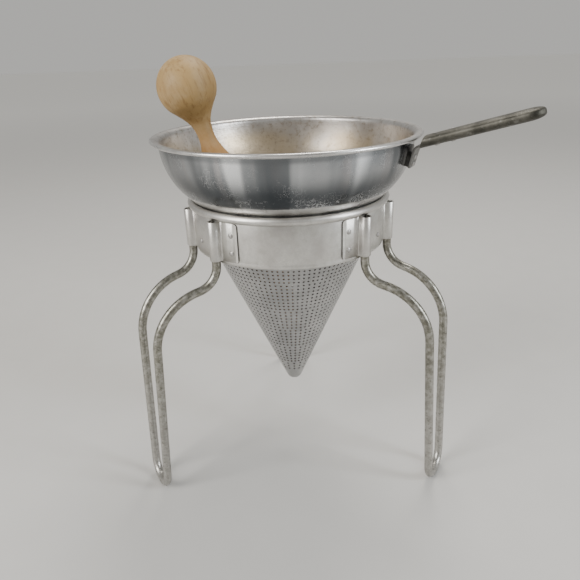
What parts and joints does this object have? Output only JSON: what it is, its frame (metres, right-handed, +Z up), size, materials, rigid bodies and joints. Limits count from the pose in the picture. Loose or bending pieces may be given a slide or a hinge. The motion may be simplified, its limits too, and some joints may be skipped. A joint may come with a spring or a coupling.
{
  "type": "chinois strainer",
  "caption": "Cone strainer hung in a handled bowl on a ring stand with hairpin wire legs, with a turned wooden pestle leaning inside.",
  "frame": {"origin": "on the floor under the stand's axis, in the plane of the three worn feet", "axes": "+Z up along the axis of the ring, bowl and cone; -Y towards the front, between the left and right legs; +X right; the handle points right and forward"},
  "size_m": [0.2783, 0.232, 0.3232],
  "materials": {
    "bowl_sheet": "spun sheet, polished outside with fine turning lines and scuffs, satin inside",
    "cone_sheet": "satin pressed sheet with rows of small round holes",
    "band_sheet": "satin sheet with a bright worn bead",
    "bracket_sheet": "satin pressed sheet",
    "rivets": "dull closed rivets",
    "leg_wire": "dull grey mottled wire, brighter at the worn feet",
    "handle_metal": "dull darkened metal with bright worn edges",
    "pestle_wood": "turned hardwood, dry and oiled by use, with fine grain and small dark knots"
  },
  "bodies": {
    "stand": {"ring_band": "band_sheet", "bracket_left": "bracket_sheet", "bracket_right": "bracket_sheet", "bracket_rear": "bracket_sheet", "bracket_rivets_left": "rivets", "bracket_rivets_right": "rivets", "bracket_rivets_rear": "rivets"},
    "strainer": {"bowl": "bowl_sheet", "sieve_cone": "cone_sheet", "handle_bracket": "handle_metal", "handle": "handle_metal", "pad_rivets": "rivets", "tang_rivets": "rivets"},
    "pestle": {"pestle": "pestle_wood"},
    "leg_left": {"leg_left": "leg_wire"},
    "leg_right": {"leg_right": "leg_wire"},
    "leg_rear": {"leg_rear": "leg_wire"}
  },
  "joints": [
    {"name": "strainer_lift", "type": "slide", "parent": "stand", "child": "strainer", "axis": [0, 0, 1], "range_m": [0, 0.18]},
    {"name": "pestle_roll", "type": "hinge", "parent": "strainer", "child": "pestle", "pos_m": [0, 0, 0.08], "axis": [0, 0, 1], "continuous": true},
    {"name": "leg_pull_left", "type": "slide", "parent": "stand", "child": "leg_left", "axis": [0, 0, -1], "range_m": [0, 0.024]},
    {"name": "leg_pull_right", "type": "slide", "parent": "stand", "child": "leg_right", "axis": [0, 0, -1], "range_m": [0, 0.024]},
    {"name": "leg_pull_rear", "type": "slide", "parent": "stand", "child": "leg_rear", "axis": [0, 0, -1], "range_m": [0, 0.024]}
  ]
}
